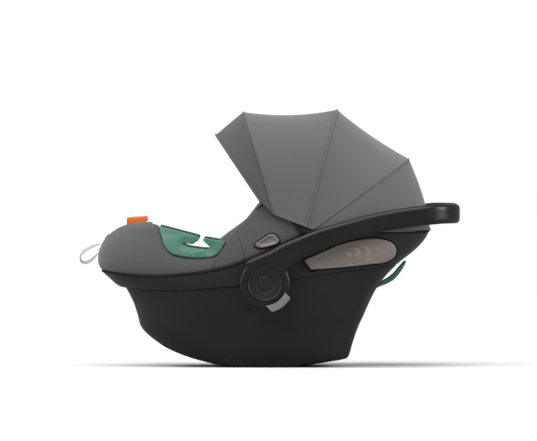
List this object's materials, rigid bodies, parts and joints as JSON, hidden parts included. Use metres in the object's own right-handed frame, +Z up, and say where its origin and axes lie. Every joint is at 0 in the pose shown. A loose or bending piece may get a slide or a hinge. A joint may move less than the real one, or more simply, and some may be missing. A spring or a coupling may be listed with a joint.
{
  "type": "infant car seat",
  "caption": "Rear-facing infant car seat shell with a swinging carry handle, folding canopy, belt guides, harness, sliding headrest and fold-out side protectors.",
  "frame": {"origin": "middle of the object's footprint box on the floor it stands on", "axes": "+X from the foot end to the head end, +Y from the near side to the far side, +Z up"},
  "size_m": [0.7363, 0.4428, 0.499],
  "materials": {
    "shell_black": "fine moulded grain",
    "band_black": "satin moulded",
    "handle_black": "satin, soft-touch outer face",
    "cover_grey": "woven melange",
    "canopy_grey": "plain weave",
    "lining_grey": "knitted",
    "foam_white": "moulded foam",
    "guide_green": "satin moulded",
    "tag_orange": "woven label",
    "protector_taupe": "ribbed, matt",
    "button_grey": "satin",
    "webbing_dark": "woven webbing",
    "webbing_light": "woven webbing",
    "buckle_red": "gloss moulded",
    "steel": "zinc plated"
  },
  "bodies": {
    "base": {"lower_shell": "shell_black", "upper_shell": "band_black", "foam_liner": "foam_white", "seat_cover": "cover_grey", "newborn_inlay": "lining_grey", "base_bar_foot": "steel", "base_bar_head": "steel", "rear_belt_guide": "guide_green", "adjuster_bezel": "shell_black", "adjuster_strap_loop": "webbing_light", "label_tag": "tag_orange", "buckle_body": "shell_black", "crotch_strap": "webbing_dark", "belt_guide_near": "guide_green", "protector_pin_near": "steel", "handle_axle_near": "steel", "handle_lock_disc_near": "steel", "canopy_rivet_near": "steel", "buckle_tongue_near": "steel", "shoulder_strap_near": "webbing_dark", "shoulder_pad_near": "lining_grey", "belt_guide_far": "guide_green", "protector_pin_far": "steel", "handle_axle_far": "steel", "handle_lock_disc_far": "steel", "canopy_rivet_far": "steel", "buckle_tongue_far": "steel", "shoulder_strap_far": "webbing_dark", "shoulder_pad_far": "lining_grey"},
    "carry_handle": {"handle_bow": "handle_black", "handle_inner_cover": "handle_black", "hub_cap_near": "handle_black", "release_leaf_spring_near": "steel", "hub_cap_far": "handle_black", "release_leaf_spring_far": "steel"},
    "canopy_rear": {"canopy_rear_hoop": "shell_black", "canopy_rear_panel": "canopy_grey"},
    "canopy_middle": {"canopy_middle_hoop": "shell_black", "canopy_middle_panel": "canopy_grey"},
    "canopy_front": {"canopy_front_hoop": "shell_black", "canopy_front_panel": "canopy_grey", "canopy_brim": "canopy_grey"},
    "adjuster_button": {"adjuster_button": "button_grey"},
    "headrest": {"headrest_shell": "shell_black", "headrest_cushion": "lining_grey"},
    "headrest_lever": {"headrest_lever": "button_grey"},
    "buckle_button": {"buckle_button": "buckle_red"},
    "side_protector_near": {"side_protector_near": "protector_taupe"},
    "stroller_release_button_near": {"stroller_release_button_near": "button_grey"},
    "handle_release_button_near": {"handle_release_button_near": "button_grey"},
    "side_protector_far": {"side_protector_far": "protector_taupe"},
    "stroller_release_button_far": {"stroller_release_button_far": "button_grey"},
    "handle_release_button_far": {"handle_release_button_far": "button_grey"}
  },
  "joints": [
    {"name": "handle_turn", "type": "hinge", "parent": "base", "child": "carry_handle", "pos_m": [-0.007, 0, 0.163], "axis": [0, -1, 0], "range_deg": [-40, 70]},
    {"name": "canopy_rear_turn", "type": "hinge", "parent": "base", "child": "canopy_rear", "pos_m": [0.068, 0, 0.254], "axis": [0, 1, 0], "range_deg": [0, 27], "deforming": ["canopy_rear_panel"]},
    {"name": "canopy_middle_turn", "type": "hinge", "parent": "canopy_rear", "child": "canopy_middle", "pos_m": [0.068, 0, 0.254], "axis": [0, 1, 0], "range_deg": [0, 32.4], "deforming": ["canopy_middle_panel"]},
    {"name": "canopy_front_turn", "type": "hinge", "parent": "canopy_middle", "child": "canopy_front", "pos_m": [0.068, 0, 0.254], "axis": [0, 1, 0], "range_deg": [0, 37.8], "deforming": ["canopy_front_panel"]},
    {"name": "headrest_slide", "type": "slide", "parent": "base", "child": "headrest", "axis": [0.7314, 0, 0.682], "range_m": [0, 0.06]},
    {"name": "headrest_lever_pull", "type": "slide", "parent": "headrest", "child": "headrest_lever", "axis": [0.7314, 0, 0.682], "range_m": [0, 0.005], "stiffness_N_per_m": 400, "springref_m": -0.002},
    {"name": "buckle_press", "type": "slide", "parent": "base", "child": "buckle_button", "axis": [0.788, 0, -0.6157], "range_m": [0, 0.0025], "stiffness_N_per_m": 400, "springref_m": -0.002},
    {"name": "adjuster_press", "type": "slide", "parent": "base", "child": "adjuster_button", "axis": [0.7771, 0, -0.6293], "range_m": [0, 0.003], "stiffness_N_per_m": 400, "springref_m": -0.002},
    {"name": "side_protector_near_fold", "type": "hinge", "parent": "base", "child": "side_protector_near", "pos_m": [0.079, -0.1805, 0.2005], "axis": [0.5878, 0, -0.809], "range_deg": [0, 30]},
    {"name": "stroller_release_near_press", "type": "slide", "parent": "base", "child": "stroller_release_button_near", "axis": [0, 1, 0], "range_m": [0, 0.004], "stiffness_N_per_m": 400, "springref_m": -0.002},
    {"name": "handle_release_near_press", "type": "slide", "parent": "carry_handle", "child": "handle_release_button_near", "axis": [-0.5592, 0, 0.829], "range_m": [0, 0.0015], "stiffness_N_per_m": 400, "springref_m": -0.002},
    {"name": "side_protector_far_fold", "type": "hinge", "parent": "base", "child": "side_protector_far", "pos_m": [0.079, 0.1805, 0.2005], "axis": [-0.5878, 0, 0.809], "range_deg": [0, 30]},
    {"name": "stroller_release_far_press", "type": "slide", "parent": "base", "child": "stroller_release_button_far", "axis": [0, -1, 0], "range_m": [0, 0.004], "stiffness_N_per_m": 400, "springref_m": -0.002},
    {"name": "handle_release_far_press", "type": "slide", "parent": "carry_handle", "child": "handle_release_button_far", "axis": [-0.5592, 0, 0.829], "range_m": [0, 0.0015], "stiffness_N_per_m": 400, "springref_m": -0.002}
  ],
  "couplings": [
    {"joint": "canopy_middle_turn", "follows": "canopy_rear_turn", "ratio": 1.196},
    {"joint": "canopy_front_turn", "follows": "canopy_rear_turn", "ratio": 1.396}
  ]
}
